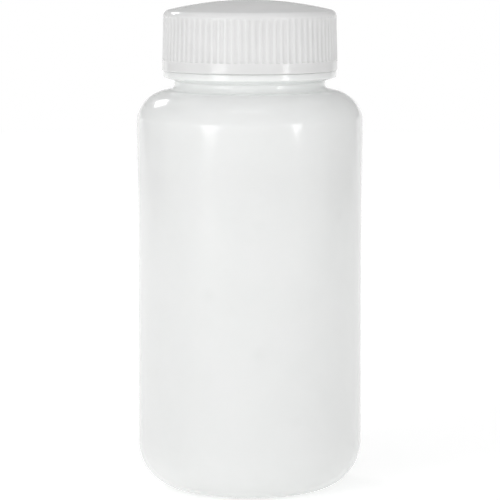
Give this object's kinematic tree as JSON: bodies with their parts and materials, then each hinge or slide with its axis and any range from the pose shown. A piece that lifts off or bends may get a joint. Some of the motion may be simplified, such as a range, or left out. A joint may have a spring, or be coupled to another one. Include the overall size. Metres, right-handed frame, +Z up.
{
  "type": "wide-mouth bottle",
  "caption": "Round translucent plastic laboratory bottle with a wide mouth and a ribbed screw cap that unscrews, for storing liquids and powders.",
  "frame": {"origin": "middle of the ring that the bottle stands on", "axes": "+Z up along the bottle's axis, towards the cap; +X and +Y are equal, the neck's thread starts on +X"},
  "size_m": [0.0752, 0.0752, 0.163],
  "materials": {
    "bottle_plastic": "satin",
    "cap_plastic": "satin",
    "disc_foam": "matte"
  },
  "bodies": {
    "bottle": {"bottle": "bottle_plastic"},
    "disc": {"sealing_disc": "disc_foam"},
    "cap": {"screw_cap": "cap_plastic"}
  },
  "joints": [
    {"name": "cap_rise", "type": "slide", "parent": "bottle", "child": "disc", "axis": [0, 0, 1], "range_m": [0, 0.01694]},
    {"name": "cap_turn", "type": "hinge", "parent": "disc", "child": "cap", "pos_m": [0, 0, 0.1554], "axis": [0, 0, 1], "range_deg": [0, 1440]}
  ],
  "couplings": [
    {"joint": "cap_rise", "follows": "cap_turn", "m_per_rad": 0.00067375}
  ]
}
